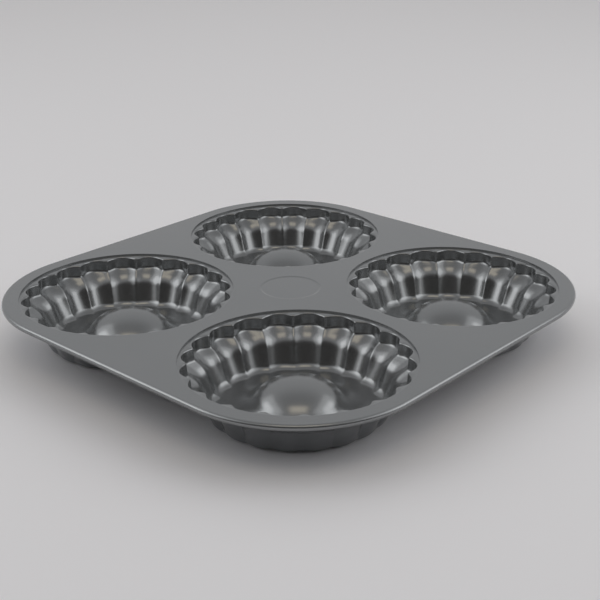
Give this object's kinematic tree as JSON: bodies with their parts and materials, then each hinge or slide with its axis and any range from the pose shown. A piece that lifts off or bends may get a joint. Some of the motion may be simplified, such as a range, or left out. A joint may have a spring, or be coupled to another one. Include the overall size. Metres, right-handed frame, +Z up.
{
  "type": "mini fluted cake pan",
  "caption": "Square one-piece steel baking tray with round fluted cups, each with a rounded dome in its middle, in a flat deck with a rolled rim and rounded corners.",
  "frame": {"origin": "centre of the pan, on the surface that the cups' floors stand on", "axes": "+Z up out of the cups' mouths, X and Y along the sides of the deck"},
  "size_m": [0.2304, 0.2304, 0.0244],
  "materials": {
    "coated_steel": "satin non-stick coating, mid grey"
  },
  "bodies": {
    "root": {"pan": "coated_steel"}
  },
  "joints": []
}
